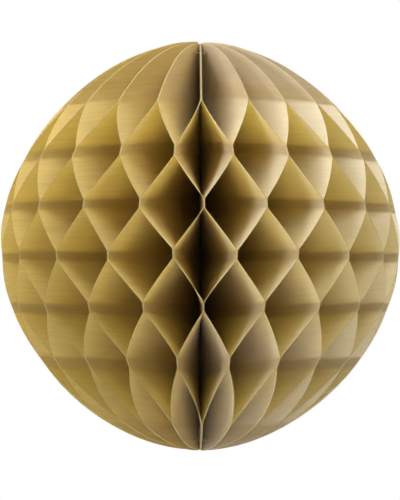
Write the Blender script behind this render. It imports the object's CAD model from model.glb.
# %% [markdown]
# # A paper honeycomb ball
#
# A honeycomb ball is made of half-disc leaves of thin metallic paper. Each leaf is glued to the
# next along a few narrow level lines, on its left side at one line and on its right side at the
# next, so that the leaves open into diamond cells. The pack of leaves sits between two card
# covers and is bound near its straight edge. Turned right round, the covers meet and the pack
# becomes a ball.
#
# The frame holds the exact leaves, covers, pads and threads, and how they move. This lesson gives
# each of them its finished surface.

# %% Load the frame
import math
import bpy
import numpy as np
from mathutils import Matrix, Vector


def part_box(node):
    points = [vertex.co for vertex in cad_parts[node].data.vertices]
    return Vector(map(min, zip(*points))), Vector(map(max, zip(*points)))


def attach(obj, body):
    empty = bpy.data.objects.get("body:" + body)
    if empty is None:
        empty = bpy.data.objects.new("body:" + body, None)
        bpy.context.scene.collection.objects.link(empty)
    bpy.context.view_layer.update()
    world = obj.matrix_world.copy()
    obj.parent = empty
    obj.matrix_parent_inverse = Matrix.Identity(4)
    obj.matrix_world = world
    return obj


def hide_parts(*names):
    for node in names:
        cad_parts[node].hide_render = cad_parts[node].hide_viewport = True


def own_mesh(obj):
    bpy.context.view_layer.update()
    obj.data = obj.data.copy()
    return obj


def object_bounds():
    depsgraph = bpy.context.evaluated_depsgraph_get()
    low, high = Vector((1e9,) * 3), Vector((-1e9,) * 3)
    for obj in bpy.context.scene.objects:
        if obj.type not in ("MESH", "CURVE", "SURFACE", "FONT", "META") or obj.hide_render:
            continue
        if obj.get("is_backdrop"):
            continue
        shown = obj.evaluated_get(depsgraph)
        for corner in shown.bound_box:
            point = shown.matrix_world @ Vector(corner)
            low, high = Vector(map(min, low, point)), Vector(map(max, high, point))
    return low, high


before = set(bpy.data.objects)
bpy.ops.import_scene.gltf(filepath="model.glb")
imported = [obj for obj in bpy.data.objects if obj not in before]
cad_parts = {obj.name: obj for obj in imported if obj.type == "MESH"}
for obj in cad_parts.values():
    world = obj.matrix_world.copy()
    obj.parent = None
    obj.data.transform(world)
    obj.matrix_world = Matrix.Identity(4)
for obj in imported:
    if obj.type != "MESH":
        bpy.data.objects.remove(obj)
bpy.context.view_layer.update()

# %% [markdown]
# ## Sizes
#
# The sizes below are those of the design, in metres: a leaf's reach and half its height come from
# the frame's own boxes, and the rest are the few numbers that say where the glue lines are and how
# thick the paper is.

# %% Sizes of the leaves
LEAVES = 40                       # leaves in the ball
STEP = 2 * math.pi / LEAVES       # angle from one glue seam to the next
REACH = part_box("cover_left")[1][1]            # from the spine to the outer edge
FULL_CURVE = 1.0003               # height of the cut curve over that of the leaf's blunt tip
HALF_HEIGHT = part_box("leaf_10")[1][2] * FULL_CURVE   # from the middle to the top of the curve
PAPER = 0.0003                    # paper thickness
GLUE = 0.0001                     # glue film between two leaves
ROWS, ROW_WIDTH = 7, 0.0048       # glue lines, and how wide each is
ROW_TOP = HALF_HEIGHT - 0.0325    # the first line, measured at the spine
ROW_LAST = 0.0114 - HALF_HEIGHT   # the last one
ROW_EXTRA = 0.0044                # how much more the last one is below its neighbour
ROW_PITCH = (ROW_TOP - ROW_LAST - ROW_EXTRA) / (ROWS - 1)
LINES = np.append(ROW_TOP - ROW_PITCH * np.arange(ROWS - 1), ROW_LAST)
DRAW_IN = 0.22                    # how far the open cells draw the outline in
WANDER_TURN = 0.006               # about how far a seam strays to either side, in radians
WANDER_LIFT = 0.0005              # and up or down, in metres
CARD, COVER_GAP = 0.0005, 0.0003  # cover thickness, and the gap between the covers
SEAM = (PAPER + GLUE) / 2         # paper middle to seam plane, leaf against leaf
COVER_SEAM = COVER_GAP / 2 + CARD + GLUE + PAPER / 2     # the same, leaf against cover
SPINE_R = SEAM / math.sin(STEP / 2)                      # straight edges, round the spine
print(f"reach {REACH * 1000:.1f} mm, half height {HALF_HEIGHT * 1000:.1f} mm, "
      f"straight edge {SPINE_R * 1000:.2f} mm from the middle")

# %% [markdown]
# ## Camera, floor and light
#
# The ball hangs, so the floor is well below it. The light is that of a studio: a small soft box
# to the left of the camera, nearly level with the ball, throws each cell's outline onto the
# wall beside it. Large soft boxes high on both sides and in front light the upper half, so the
# ball gets darker downwards, and two more high behind it shine through the outer leaves. The
# room in front is dimmer than the wall behind, so the cells that face the camera are dark
# inside. The floor glows a little, as paper under studio lamps does, so it stays pale all
# round. A level camera a little over two metres away keeps the ball's outline round.

# %% Camera
VIEW_AZIMUTH, VIEW_RISE = math.radians(-1.15), math.radians(-1.16)
VIEW_DISTANCE = 2.203             # from the camera to what it looks at
VIEW_TARGET = (0.0, 0.0, -0.0023)
LENS, SENSOR_WIDTH = 253.0, 36.0  # a long lens, in millimetres


def from_azimuth(azimuth, rise, distance, centre=(0, 0, 0)):
    """A point at a distance from a centre. Azimuth 0 is in front, at -Y, and turns towards +X."""
    flat = distance * math.cos(rise)
    return (centre[0] + flat * math.sin(azimuth), centre[1] - flat * math.cos(azimuth),
            centre[2] + distance * math.sin(rise))


def aim(obj, place, target):
    """Puts a camera or a light at a place, with its -Z axis towards a target."""
    obj.location = place
    obj.rotation_euler = (Vector(target) - Vector(place)).to_track_quat("-Z", "Y").to_euler()


camera = bpy.data.objects.new("camera", bpy.data.cameras.new("camera"))
bpy.context.collection.objects.link(camera)
camera.data.sensor_width = SENSOR_WIDTH
camera.data.lens = LENS
aim(camera, from_azimuth(VIEW_AZIMUTH, VIEW_RISE, VIEW_DISTANCE, VIEW_TARGET), VIEW_TARGET)
bpy.context.scene.camera = camera
print("camera at", [round(v, 3) for v in camera.location])

# %% Floor, room and lamps
bpy.context.scene.view_settings.view_transform = "Standard"


def new_material(name):
    """A new material, its node tree and its Principled node."""
    m = bpy.data.materials.new(name)
    m.use_nodes = True
    return m, m.node_tree, m.node_tree.nodes["Principled BSDF"]


def plain_material(name, colour, roughness, glow):
    """A plain matt material that glows a little, as a lit paper floor does, so it stays pale."""
    m, _, face = new_material(name)
    face.inputs["Base Color"].default_value = (*colour, 1)
    face.inputs["Roughness"].default_value = roughness
    face.inputs["Emission Color"].default_value = (1, 1, 1, 1)
    face.inputs["Emission Strength"].default_value = glow
    return m


FLOOR_REACH, FLOOR_LEVEL = 3.0, -0.9   # half the floor's side, and its height
floor_mesh = bpy.data.meshes.new("floor")
floor_mesh.from_pydata([(x * FLOOR_REACH, y * FLOOR_REACH, FLOOR_LEVEL)
                        for x, y in ((-1, -1), (1, -1), (1, 1), (-1, 1))], [], [(0, 1, 2, 3)])
floor = bpy.data.objects.new("floor", floor_mesh)
bpy.context.collection.objects.link(floor)
floor_mesh.materials.append(plain_material("floor", (0.8, 0.8, 0.8), 0.9, 0.22))
floor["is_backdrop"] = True

world = bpy.data.worlds.new("room")
bpy.context.scene.world = world
world.use_nodes = True
w = world.node_tree
room = w.nodes["Background"]
room.inputs["Color"].default_value = (1, 1, 1, 1)
direction = w.nodes.new("ShaderNodeTexCoord")
turned = w.nodes.new("ShaderNodeSeparateXYZ")
w.links.new(direction.outputs["Generated"], turned.inputs[0])
strength = w.nodes.new("ShaderNodeMapRange")   # from the room in front to the wall behind
strength.interpolation_type = "SMOOTHSTEP"
for label, value in (("From Min", -0.35), ("From Max", 0.6), ("To Min", 0.12), ("To Max", 0.25)):
    strength.inputs[label].default_value = value
w.links.new(turned.outputs["Y"], strength.inputs["Value"])
w.links.new(strength.outputs["Result"], room.inputs["Strength"])
seen = w.nodes.new("ShaderNodeBackground")     # what the camera sees of the room is white
seen.inputs["Color"].default_value = (1, 1, 1, 1)
seen.inputs["Strength"].default_value = 1.0
mix = w.nodes.new("ShaderNodeMixShader")
path = w.nodes.new("ShaderNodeLightPath")
w.links.new(path.outputs["Is Camera Ray"], mix.inputs["Fac"])
w.links.new(room.outputs["Background"], mix.inputs[1])
w.links.new(seen.outputs["Background"], mix.inputs[2])
w.links.new(mix.outputs["Shader"], w.nodes["World Output"].inputs["Surface"])

LAMP_DISTANCE = 1.8               # from the ball to every lamp
SMALL, LARGE = 0.45, 0.9          # sides of the soft boxes


def soft_box(name, azimuth, rise, size, power, colour=(1.0, 1.0, 1.0)):
    """A square area lamp that faces the ball, placed by its direction from the ball in degrees."""
    data = bpy.data.lights.new(name, "AREA")
    data.size, data.energy, data.color = size, power, colour
    lamp = bpy.data.objects.new(name, data)
    bpy.context.collection.objects.link(lamp)
    place = from_azimuth(math.radians(azimuth), math.radians(rise), LAMP_DISTANCE)
    aim(lamp, place, (0, 0, 0))


soft_box("key_left", -44, 8, SMALL, 12)
soft_box("high_left", -60, 55, LARGE, 22)
soft_box("top_front", 25, 58, LARGE, 17, (1.0, 1.0, 0.95))
soft_box("high_right", 70, 50, LARGE, 15, (0.97, 1.0, 1.0))
soft_box("right_panel", 70, 5, LARGE, 6, (0.95, 1.0, 1.0))
soft_box("back_left", -145, 52, LARGE, 16)
soft_box("back_right", 145, 52, LARGE, 8)

# %% [markdown]
# ## The finish of the paper
#
# The paper is thin, and one side of it is printed with a matt gold ink that holds fine pearly
# flakes. The other side is bare, and only as yellow as the dye in the paper. A ball is folded
# from one stack with the same side up, so all the printed sides face one way round and all the
# bare sides the other: seen from anywhere, one half of the ball is deep gold and the other half
# pale. Light that goes through the paper comes out a deeper yellow. Two layers at a glue line
# let less light through, which is why each line shows as a darker level band. The grain runs
# across the leaf, because the sheets are cut from a roll.
#
# The streaks of the grain, the speckle of the flakes and the slow clouds in the ink are one node
# group, so that the faces of the leaves and their cut edges share them.

# %% Node group for paper grain


def new_group(name, inputs, outputs):
    """An empty shader node group with the given float inputs and float outputs."""
    g = bpy.data.node_groups.new(name, "ShaderNodeTree")
    for label, value in inputs:
        s = g.interface.new_socket(label, in_out="INPUT", socket_type="NodeSocketFloat")
        s.default_value = value
    for label in outputs:
        g.interface.new_socket(label, in_out="OUTPUT", socket_type="NodeSocketFloat")
    return g, g.nodes.new("NodeGroupInput"), g.nodes.new("NodeGroupOutput")


def maths(tree, operation, a, b=None, clamp=False):
    """A Math node whose inputs are sockets or numbers, and its output socket."""
    n = tree.nodes.new("ShaderNodeMath")
    n.operation, n.use_clamp = operation, clamp
    for i, v in enumerate((a, b)):
        if v is None:
            continue
        if isinstance(v, (int, float)):
            n.inputs[i].default_value = v
        else:
            tree.links.new(v, n.inputs[i])
    return n.outputs[0]


grain_group, g_in, g_out = new_group(
    "paper_grain", [("Streaks per metre", 600.0), ("Speckle per metre", 2500.0)],
    ["Streak", "Speckle", "Cloud"])
on_sheet = grain_group.nodes.new("ShaderNodeUVMap")   # where a point lay on the flat sheet
on_sheet.uv_map = "flat"
sheet_axes = grain_group.nodes.new("ShaderNodeSeparateXYZ")
grain_group.links.new(on_sheet.outputs["UV"], sheet_axes.inputs[0])


def grain_noise(scale_out, scale_up, detail, label):
    """Noise on the flat sheet, with its own scale outwards and up the leaf, on the group's output
    of that name."""
    both = grain_group.nodes.new("ShaderNodeCombineXYZ")
    for axis, scale in (("X", scale_out), ("Y", scale_up)):
        along = maths(grain_group, "MULTIPLY", sheet_axes.outputs[axis], scale)
        grain_group.links.new(along, both.inputs[axis])
    n = grain_group.nodes.new("ShaderNodeTexNoise")
    n.inputs["Scale"].default_value = 1.0
    n.inputs["Detail"].default_value = detail
    grain_group.links.new(both.outputs[0], n.inputs["Vector"])
    grain_group.links.new(n.outputs["Fac"], g_out.inputs[label])


grain_noise(25.0, g_in.outputs["Streaks per metre"], 3.0, "Streak")
grain_noise(g_in.outputs["Speckle per metre"], g_in.outputs["Speckle per metre"], 2.0, "Speckle")
grain_noise(30.0, 45.0, 3.0, "Cloud")
print("grain group:", [i.name for i in grain_group.interface.items_tree])

# %% Colour mixing


def colour_mix(tree, factor, first, second):
    """A colour Mix node from first, at factor 0, to second, at 1, and its output socket. Each is
    an (r, g, b) colour or a socket, and the factor is a number or a socket."""
    n = tree.nodes.new("ShaderNodeMix")
    n.data_type = "RGBA"
    if isinstance(factor, float):
        n.inputs[0].default_value = factor
    else:
        tree.links.new(factor, n.inputs[0])
    for socket, v in ((n.inputs[6], first), (n.inputs[7], second)):   # A and B of a colour mix
        if isinstance(v, tuple):
            socket.default_value = (*v, 1)
        else:
            tree.links.new(v, socket)
    return n.outputs[2]


def raise_surface(tree, face, height, strength, distance):
    """Raises a Principled node's surface by a height socket, times a distance in metres."""
    bump = tree.nodes.new("ShaderNodeBump")
    bump.inputs["Strength"].default_value = strength
    bump.inputs["Distance"].default_value = distance
    tree.links.new(height, bump.inputs["Height"])
    tree.links.new(bump.outputs["Normal"], face.inputs["Normal"])


def darker(colour, share):
    """The colour times a share."""
    return tuple(c * share for c in colour)


# %% Materials of the leaves


def gold_paper(name, deep, pale, back_deep, back_pale, through, see_through):
    """Matt metallic paper: a mix of a sheet that reflects and the same sheet lit from behind.
    Its printed side runs from deep to pale with the streaks of the ink and the slow clouds
    between, and its bare side from back_deep to back_pale."""
    m, t, face = new_material(name)
    grain = t.nodes.new("ShaderNodeGroup")
    grain.node_tree = grain_group
    glue, fold, bare = (t.nodes.new("ShaderNodeAttribute") for _ in range(3))
    for mark, label in ((glue, "glue_band"), (fold, "fold_line"), (bare, "bare_side")):
        mark.attribute_name = label
    tone = maths(t, "ADD", maths(t, "MULTIPLY", grain.outputs["Streak"], 1.2),
                 maths(t, "MULTIPLY", grain.outputs["Cloud"], 0.6))
    tone = maths(t, "SUBTRACT", tone, 0.4, clamp=True)   # back to the middle of 0 to 1
    base = colour_mix(t, bare.outputs["Fac"], colour_mix(t, tone, deep, pale),
                      colour_mix(t, tone, back_deep, back_pale))
    base = colour_mix(t, maths(t, "MULTIPLY", glue.outputs["Fac"], 0.15), base, darker(deep, 0.7))
    base = colour_mix(t, maths(t, "MULTIPLY", fold.outputs["Fac"], 0.25), base, pale)
    t.links.new(base, face.inputs["Base Color"])
    rough = maths(t, "ADD", maths(t, "MULTIPLY", grain.outputs["Speckle"], 0.24), 0.46)
    t.links.new(rough, face.inputs["Roughness"])
    face.inputs["Metallic"].default_value = 0.25
    face.inputs["Specular IOR Level"].default_value = 0.5
    face.inputs["Coat Weight"].default_value = 0.3
    face.inputs["Coat Roughness"].default_value = 0.45
    face.inputs["Sheen Weight"].default_value = 0.5
    face.inputs["Sheen Roughness"].default_value = 0.5
    relief = maths(t, "ADD", maths(t, "MULTIPLY", grain.outputs["Streak"], 0.6),
                   maths(t, "MULTIPLY", grain.outputs["Cloud"], 2.0))
    raise_surface(t, face, relief, 0.35, 0.0003)
    back = t.nodes.new("ShaderNodeBsdfTranslucent")
    glow = colour_mix(t, tone, darker(through, 0.9), through)
    glow = colour_mix(t, maths(t, "MULTIPLY", glue.outputs["Fac"], 0.8), glow, (1.0, 0.92, 0.62))
    t.links.new(glow, back.inputs["Color"])
    sheet = t.nodes.new("ShaderNodeMixShader")
    sheet.inputs["Fac"].default_value = see_through
    t.links.new(face.outputs["BSDF"], sheet.inputs[1])
    t.links.new(back.outputs["BSDF"], sheet.inputs[2])
    t.links.new(sheet.outputs["Shader"], t.nodes["Material Output"].inputs["Surface"])
    return m


leaf_gold = gold_paper("leaf_gold", deep=(0.44, 0.325, 0.10), pale=(0.74, 0.575, 0.22),
                       back_deep=(0.78, 0.735, 0.55), back_pale=(0.98, 0.94, 0.80),
                       through=(0.95, 0.82, 0.35), see_through=0.52)
cut_edge = gold_paper("cut_edge", deep=(0.27, 0.21, 0.09), pale=(0.40, 0.33, 0.16),
                      back_deep=(0.27, 0.21, 0.09), back_pale=(0.40, 0.33, 0.16),
                      through=(0.70, 0.58, 0.26), see_through=0.4)
print("leaf materials:", leaf_gold.name, cut_edge.name)

# %% [markdown]
# ## The leaves
#
# A real leaf is a flat half-disc. Between two glue lines its paper crosses from one seam to the
# other in a shallow S: it leaves a line flat, bends over a short distance, runs nearly straight
# and bends back. The whole surface is a function of two parameters, the distance from the spine
# and the height up the straight edge, so numpy can work it out for a grid of points at once. The
# sheet then gets a front and a back half a thickness to either side, and a narrow cut edge.
#
# No hand folds forty leaves the same. Every seam wanders a little, and both leaves that share it
# wander together, so the glue still joins them.

# %% The shape of a leaf


def outline_reach(height):
    """Reach of a leaf at a height up its straight edge: the outline is half an ellipse."""
    return REACH * np.sqrt(np.maximum(0.0, 1 - (height / HALF_HEIGHT) ** 2))


def crossing(s, ease=0.06):
    """From 0 to 1 as s does: straight in the middle, and a parabola over a short ease at each
    end, so that the paper leaves and meets the glue lines without a crease."""
    s = np.clip(s, 0, 1)
    top = 1 / (1 - ease)
    return np.where(s < ease, top * s * s / (2 * ease),
                    np.where(s > 1 - ease, 1 - top * (1 - s) ** 2 / (2 * ease),
                             top * (s - ease / 2)))


def side_at(height):
    """Which seam the paper is on at a height: 1 at the first, third, fifth and seventh glue line
    and beyond the last ones, -1 at the lines between, and the eased crossing in between."""
    i = np.clip((height[..., None] <= LINES).sum(axis=-1) - 1, 0, ROWS - 2)
    upper, lower = LINES[i] - ROW_WIDTH / 2, LINES[i + 1] + ROW_WIDTH / 2
    sign = np.where(i % 2 == 0, 1.0, -1.0)
    crossed = sign * (1 - 2 * crossing((upper - height) / (upper - lower)))
    return np.where((height > LINES[0]) | (height < LINES[-1]), 1.0, crossed)


def swing(offset, radius):
    """Angle from a leaf's own plane to paper that lies at an offset from its seam plane."""
    return np.maximum(0.0, STEP / 2 - np.arcsin(np.minimum(1.0, offset / radius)))


def wander(seam, height, amount, tag):
    """A slow wave along a seam, three sines of fixed random phase. The covers hold theirs still.
    The slowest sine turns by 1.9 radians from the middle to the tip, and the sum of the three
    seldom reaches much more than 1.3."""
    if seam in (0, LEAVES):
        return 0 * height
    rng = np.random.default_rng(1000 * tag + seam)
    phase, weight = rng.uniform(0, 2 * math.pi, 3), rng.uniform(0.4, 1.0, 3)
    slowest, usual_reach = 1.9, 1.3
    along = slowest * height / HALF_HEIGHT
    waves = sum(weight[n] * np.sin((n + 1) * along + phase[n]) for n in range(3))
    return amount * waves / usual_reach


def shared_wander(seams, share, height, amount, tag):
    """How far the paper strays at a height: as its seams do, by its share of the first of them."""
    first, second = (wander(seam, height, amount, tag) for seam in seams)
    return share * first + (1 - share) * second


def leaf_direction(k):
    """Angle of leaf k's own plane round the spine. The covers are at +Y, and the count turns
    with the angle."""
    return math.pi / 2 + (k - 0.5) * STEP


def leaf_middle(k, height, part):
    """Middle surface of leaf k as points: part runs from the straight edge, 0, to the outline, 1.
    The angle from the leaf's own plane is its side times its swing, plus its seams' wander."""
    radius = SPINE_R + part * (outline_reach(height) - SPINE_R)
    side = side_at(height)
    seams = (k - 1, k) if k % 2 else (k, k - 1)   # on its +1 and on its -1 side
    turn = -1 if k % 2 else 1
    offset = COVER_SEAM if k in (1, LEAVES) else SEAM
    angle = turn * side * np.where(side > 0, swing(offset, radius), swing(SEAM, radius))
    share = (1 + side) / 2
    angle = angle + shared_wander(seams, share, height, WANDER_TURN, 1)
    lift = shared_wander(seams, share, height, WANDER_LIFT, 2)
    round_spine = leaf_direction(k) + angle
    points = np.stack([radius * np.cos(round_spine), radius * np.sin(round_spine),
                       (height + lift) * np.sqrt(1 - DRAW_IN * (radius / REACH) ** 2)], axis=-1)
    return points, radius


def leaf_heights():
    """Heights of the grid's levels: close together at the glue lines and the tips."""
    blunt = (SPINE_R + BLUNT_TIP) / REACH
    tip = math.asin(math.sqrt(1 - blunt ** 2))
    upper, lower = LINES + ROW_WIDTH / 2, LINES - ROW_WIDTH / 2
    bands = [np.linspace(a, b, 3)[:-1] for a, b in zip(upper, lower)]
    spread = np.array([0, 0.025, 0.06, 0.11, 0.2, 0.35, 0.5, 0.65, 0.8, 0.89, 0.94, 0.975])
    walls = [a + (b - a) * spread for a, b in zip(lower[:-1], upper[1:])]
    rise = np.sin(np.linspace(math.asin(upper[0] / HALF_HEIGHT), tip, TIP_LEVELS))
    fall = np.sin(np.linspace(math.asin(lower[-1] / HALF_HEIGHT), -tip, TIP_LEVELS))
    middle = [v for pair in zip(bands, walls) for v in pair] + [bands[-1]]
    return np.concatenate([HALF_HEIGHT * rise[::-1][:-1], *middle, HALF_HEIGHT * fall])


BLUNT_TIP = 0.0004                # width of the sheet where it ends at a tip
TIP_LEVELS = 15                   # grid levels from a tip to the nearest glue line
COLUMNS = 25                      # grid columns, a little closer together at the outline
levels = leaf_heights()
columns = np.linspace(0, 1, COLUMNS) ** 0.9
print(f"a leaf's grid is {len(levels)} levels by {len(columns)} columns")

# %% Making closed sheets


def unit_normals(points):
    """Unit normals of a grid of points: the cross product of its two differences."""
    n = np.cross(np.gradient(points, axis=0), np.gradient(points, axis=1))
    return n / np.linalg.norm(n, axis=-1, keepdims=True)


def signed_volume(points, quads):
    """Six times the volume inside four-sided faces, negative when they face inwards: the sum of
    a . (b x c) + a . (c x d)."""
    a, b, c, d = (points[quads[:, v]] for v in range(4))
    return np.einsum("ij,ij", a, np.cross(b, c) + np.cross(c, d))


def grid_border(rows, cols):
    """Indices of the grid's border, once round."""
    i = np.arange(rows * cols).reshape(rows, cols)
    return np.concatenate([i[0, :-1], i[:-1, -1], i[-1, :0:-1], i[:0:-1, 0]])


def closed_sheet(name, middle, thickness, flat, marks, materials, bare_towards):
    """A closed sheet from its middle surface: a front and a back, half a thickness to either side
    along the normals, and a cut edge between them round the border, in the second material. flat
    is where each point lay on the flat sheet, and marks are named values on the points. The side
    that faces bare_towards is marked as the unprinted one."""
    rows, cols = middle.shape[:2]
    n = rows * cols
    normal = unit_normals(middle) * thickness / 2
    points = np.concatenate([(middle + normal).reshape(-1, 3), (middle - normal).reshape(-1, 3)])
    i = np.arange(n).reshape(rows, cols)
    quad = np.stack([i[:-1, :-1], i[1:, :-1], i[1:, 1:], i[:-1, 1:]], axis=-1).reshape(-1, 4)
    ring = grid_border(rows, cols)
    after = np.roll(ring, -1)
    rim = np.stack([ring, after, after + n, ring + n], axis=-1)
    faces = np.concatenate([quad, quad[:, ::-1] + n, rim])
    volume = signed_volume(points, faces) / 6
    if volume < 0:
        faces = faces[:, ::-1]
    mesh = bpy.data.meshes.new(name)
    mesh.from_pydata(points.tolist(), [], faces.tolist())
    for m in materials:
        mesh.materials.append(m)
    is_rim = np.arange(len(faces)) >= 2 * len(quad)
    mesh.polygons.foreach_set("use_smooth", ~is_rim)
    mesh.polygons.foreach_set("material_index", is_rim.astype(np.int32))
    ends = np.empty(2 * len(mesh.edges), np.int32)
    mesh.edges.foreach_get("vertices", ends)
    on_ring = np.zeros(2 * n, bool)
    on_ring[ring] = on_ring[ring + n] = True
    ends = ends.reshape(-1, 2)
    mesh.edges.foreach_set("use_edge_sharp", on_ring[ends].all(axis=1))
    uv = mesh.uv_layers.new(name="flat")
    corner = np.empty(len(mesh.loops), np.int32)
    mesh.loops.foreach_get("vertex_index", corner)
    both_sides = np.concatenate([flat.reshape(-1, 2)] * 2).astype(np.float32)
    uv.data.foreach_set("uv", both_sides[corner].ravel())
    front_bare = float((normal * bare_towards).sum() > 0)
    values = {label: np.concatenate([value.ravel()] * 2) for label, value in marks.items()}
    values["bare_side"] = np.repeat([front_bare, 1 - front_bare], n)
    for label, value in values.items():
        mesh.attributes.new(label, "FLOAT", "POINT").data.foreach_set(
            "value", value.astype(np.float32))
    mesh.update()
    obj = bpy.data.objects.new(name, mesh)
    bpy.context.collection.objects.link(obj)
    return obj, abs(volume)


# %% Leaves


def from_line(height):
    """Distance from the middle of the nearest glue line."""
    return np.abs(height[..., None] - LINES).min(axis=-1)


def glue_bands(height):
    """1 on a glue line and 0 between the lines, with edges a little more than 1 mm soft."""
    return np.clip((ROW_WIDTH / 2 + 0.0006 - from_line(height)) / 0.0012, 0, 1)


def fold_lines(height):
    """1 along both edges of each glue line, where the paper is creased: a bell 1.4 mm wide."""
    return np.exp(-((from_line(height) - ROW_WIDTH / 2) / 0.0007) ** 2)


def flatten_with(piece):
    """Flattens a piece on leaf k onto the leaf's own plane as the leaf's joint closes, down to
    the share of its width to keep."""
    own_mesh(piece)


SHEET_SHIFT = 0.3                 # how far apart the leaves lay on the roll, so no two look alike
height, part = np.meshgrid(levels, columns, indexing="ij")
marks = {"glue_band": glue_bands(height), "fold_line": fold_lines(height)}
total_faces = 0
for k in range(1, LEAVES + 1):
    middle, radius = leaf_middle(k, height, part)
    flat = np.stack([radius + SHEET_SHIFT * k, height], axis=-1)
    bare_towards = (math.sin(leaf_direction(k)), -math.cos(leaf_direction(k)), 0)
    leaf, volume = closed_sheet(f"paper_{k:02d}", middle, PAPER, flat, marks,
                                [leaf_gold, cut_edge], bare_towards)
    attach(leaf, f"body_leaf_{k:02d}")
    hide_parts(f"leaf_{k:02d}")
    flatten_with(leaf)
    total_faces += len(leaf.data.polygons)
print(f"{LEAVES} leaves, {total_faces} faces, last leaf {volume * 1e9:.0f} mm3 of paper")

# %% [markdown]
# ## The covers
#
# Each cover is a half-disc of grey card, a little stiffer than a postcard. Its shape is exact in
# the frame, holes and all, so the frame's own solid stays and only gets its finish: recycled
# board with short fibres and specks in it, a little paler where hands have rubbed the outline.

# %% Card finish
card_group, g_in, g_out = new_group(
    "board_fibres", [("Fibres per metre", 900.0), ("Specks per metre", 700.0)],
    ["Fibre", "Speck", "Cloud"])
in_solid = card_group.nodes.new("ShaderNodeTexCoord")


def board_noise(scale, stretch, detail, label):
    """Noise in the solid, stretched by (x, y, z), on the group's output of that name."""
    n = card_group.nodes.new("ShaderNodeTexNoise")
    mapping = card_group.nodes.new("ShaderNodeMapping")
    mapping.inputs["Scale"].default_value = stretch
    card_group.links.new(in_solid.outputs["Object"], mapping.inputs["Vector"])
    card_group.links.new(mapping.outputs["Vector"], n.inputs["Vector"])
    if isinstance(scale, float):
        n.inputs["Scale"].default_value = scale
    else:
        card_group.links.new(scale, n.inputs["Scale"])
    n.inputs["Detail"].default_value = detail
    card_group.links.new(n.outputs["Fac"], g_out.inputs[label])


board_noise(g_in.outputs["Fibres per metre"], (1.0, 1.0, 0.3), 3.0, "Fibre")
board_noise(g_in.outputs["Specks per metre"], (1.0, 1.0, 1.0), 1.0, "Speck")
board_noise(25.0, (1.0, 1.0, 1.0), 3.0, "Cloud")


def card_board(name, deep, pale, speck):
    """Uncoated board: fibres and clouds between two colours, with darker specks."""
    m, t, face = new_material(name)
    fibres = t.nodes.new("ShaderNodeGroup")
    fibres.node_tree = card_group
    tone = maths(t, "ADD", maths(t, "MULTIPLY", fibres.outputs["Fibre"], 0.6),
                 maths(t, "MULTIPLY", fibres.outputs["Cloud"], 0.4), clamp=True)
    specks = t.nodes.new("ShaderNodeMapRange")
    specks.inputs["From Min"].default_value = 0.66
    specks.inputs["From Max"].default_value = 0.72
    t.links.new(fibres.outputs["Speck"], specks.inputs["Value"])
    base = colour_mix(t, tone, deep, pale)
    base = colour_mix(t, specks.outputs["Result"], base, speck)
    t.links.new(base, face.inputs["Base Color"])
    rough = maths(t, "ADD", maths(t, "MULTIPLY", fibres.outputs["Fibre"], 0.2), 0.65)
    t.links.new(rough, face.inputs["Roughness"])
    face.inputs["Specular IOR Level"].default_value = 0.3
    raise_surface(t, face, fibres.outputs["Fibre"], 0.4, 0.0001)
    return m


cover_card = card_board("cover_card", (0.36, 0.30, 0.20), (0.56, 0.48, 0.34), (0.20, 0.16, 0.10))
for label in ("cover_left", "cover_right"):
    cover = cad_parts[label]
    cover.data.materials.clear()
    cover.data.materials.append(cover_card)

# %% [markdown]
# ## The closure pads
#
# Three small self-adhesive paper pads on the left cover hold the open ball shut. Each is a die-cut
# rectangle with round corners, a hair thicker in the middle than at its edge. The surface is a
# function of the way round and the way up its side, so it closes at the two middles.

# %% Closure pads
PAD_CORNER = 0.0022               # corner radius of a pad
PAD_POINTS = 48                   # points round its outline


def pad_outline(width, height, turn):
    """A rectangle with round corners, as turn runs from 0 to 1: the corner centre of the quarter
    that turn is in, plus the corner radius in the direction of turn. Quarters meet in straight
    sides because the corner centres lie apart."""
    angle = turn * 2 * math.pi
    c, s = np.cos(angle), np.sin(angle)
    right, up = np.where(c >= 0, 1.0, -1.0), np.where(s >= 0, 1.0, -1.0)
    return np.stack([right * (width / 2 - PAD_CORNER) + PAD_CORNER * c,
                     up * (height / 2 - PAD_CORNER) + PAD_CORNER * s], axis=-1)


def pad_surface(low, high):
    """A pad in the box from low to high, flat across x: the outline shrunk by the pad's profile,
    which goes from the middle of one face over the rounded edge to the middle of the other."""
    size = np.array(high) - np.array(low)
    middle = (np.array(high) + np.array(low)) / 2
    shrink = np.array([0.02, 0.5, 0.9, 0.97, 1.0, 1.0, 0.97, 0.9, 0.5, 0.02])
    rise = np.array([-1.0, -1.0, -0.96, -0.8, -0.4, 0.4, 0.8, 0.96, 1.0, 1.0]) / 2
    turn = (np.arange(PAD_POINTS) + 0.5) / PAD_POINTS
    outline = pad_outline(size[1], size[2], turn)
    points = np.empty((len(rise), len(turn), 3))
    points[..., 0] = middle[0] + rise[:, None] * size[0]
    points[..., 1] = middle[1] + shrink[:, None] * outline[None, :, 0]
    points[..., 2] = middle[2] + shrink[:, None] * outline[None, :, 1]
    return points


def closed_tube(name, rings, material):
    """A closed surface from rings of points, grid[ring, way round], with a flat cap on each end."""
    count, around = rings.shape[:2]
    i = np.arange(count * around).reshape(count, around)
    j = np.roll(i, -1, axis=1)
    quads = np.stack([i[:-1], j[:-1], j[1:], i[1:]], axis=-1).reshape(-1, 4)
    faces = quads.tolist() + [i[0, ::-1].tolist(), i[-1].tolist()]
    points = rings.reshape(-1, 3)
    if signed_volume(points, quads) < 0:
        faces = [f[::-1] for f in faces]
    mesh = bpy.data.meshes.new(name)
    mesh.from_pydata(points.tolist(), [], faces)
    mesh.materials.append(material)
    mesh.polygons.foreach_set("use_smooth", np.arange(len(faces)) < len(quads))
    mesh.update()
    obj = bpy.data.objects.new(name, mesh)
    bpy.context.collection.objects.link(obj)
    return obj


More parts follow.
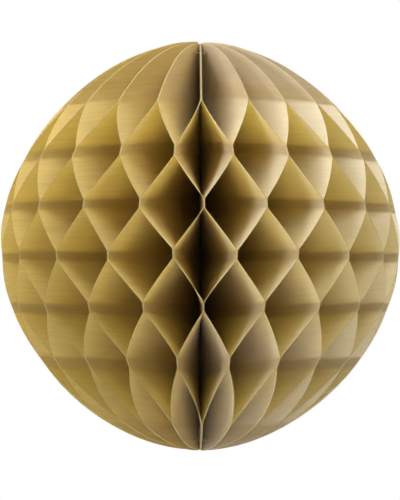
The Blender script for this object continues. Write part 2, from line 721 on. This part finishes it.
pad_paper = card_board("pad_paper", (0.70, 0.68, 0.62), (0.86, 0.85, 0.80), (0.60, 0.57, 0.50))
for place_name in ("upper", "middle", "lower"):
    low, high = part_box(f"pad_{place_name}")
    pad = closed_tube(f"closure_pad_{place_name}", pad_surface(low, high), pad_paper)
    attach(pad, "left_cover")
    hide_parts(f"pad_{place_name}")
print("pads:", [round((b - a) * 1000, 2) for a, b in zip(low, high)], "mm each")

# %% [markdown]
# ## The binding threads
#
# A thread runs through a hole near the spine of every leaf, once near the top and once near the
# bottom, and stops the leaves from sliding. Open, it is a ring. Closed, every leaf's share of it
# lies in line across the pack. So the ring is made in forty short lengths, one riding on each
# leaf, and each is flattened with its leaf. A two-ply twist is a circle whose radius swells twice
# on the way round, turned steadily along the length.

# %% Binding threads
THREAD_R = 0.0004                 # radius of a thread
THREAD_TURN = 0.0022              # length in which the twist turns once
BIND_R = 0.015                    # from the spine to the threads
THREAD_RINGS, RING_POINTS = 7, 10     # rings in one length, and points round each
ENDS = ("top", "bottom")
thread_heights = [sum(corner[2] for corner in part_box(f"binding_{end}")) / 2 for end in ENDS]


def thread_length(k, height):
    """The share of leaf k: rings along an arc of one step round the spine. Each ring has two
    swellings that reach the thread's full radius and turn as the arc goes on."""
    along = leaf_direction(k) + np.linspace(-0.5, 0.5, THREAD_RINGS) * STEP
    around = np.arange(RING_POINTS) / RING_POINTS * 2 * math.pi
    arc, turn = np.meshgrid(along, around, indexing="ij")
    twist = 2 * (turn - arc * BIND_R / THREAD_TURN * 2 * math.pi)
    thick = THREAD_R * (0.85 + 0.15 * np.cos(twist))
    out = BIND_R + thick * np.cos(turn)
    return np.stack([out * np.cos(arc), out * np.sin(arc), height + thick * np.sin(turn)], axis=-1)


def cotton(name):
    """Spun cotton, a little fuzzy: slubs and fibres in the solid, matt with a soft sheen."""
    m, t, face = new_material(name)
    fibres = t.nodes.new("ShaderNodeGroup")
    fibres.node_tree = card_group
    fibres.inputs["Fibres per metre"].default_value = 6000.0
    base = colour_mix(t, fibres.outputs["Fibre"], (0.30, 0.20, 0.08), (0.52, 0.38, 0.18))
    t.links.new(base, face.inputs["Base Color"])
    rough = maths(t, "ADD", maths(t, "MULTIPLY", fibres.outputs["Fibre"], 0.2), 0.7)
    t.links.new(rough, face.inputs["Roughness"])
    face.inputs["Sheen Weight"].default_value = 0.3
    raise_surface(t, face, fibres.outputs["Fibre"], 0.5, 0.0001)
    return m


thread_cotton = cotton("thread_cotton")
# Shut, a length is no wider than a leaf and its glue, so that it stays clear of its neighbours.
for end, thread_height in zip(ENDS, thread_heights):
    for k in range(1, LEAVES + 1):
        rings = thread_length(k, thread_height)
        length = closed_tube(f"thread_{end}_{k:02d}", rings, thread_cotton)
        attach(length, f"body_leaf_{k:02d}")
        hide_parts(f"binding_{end}")
        flatten_with(length)

# %% Finish
low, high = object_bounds()
print("made box in mm:", [round(v * 1000, 1) for v in (high - low)])
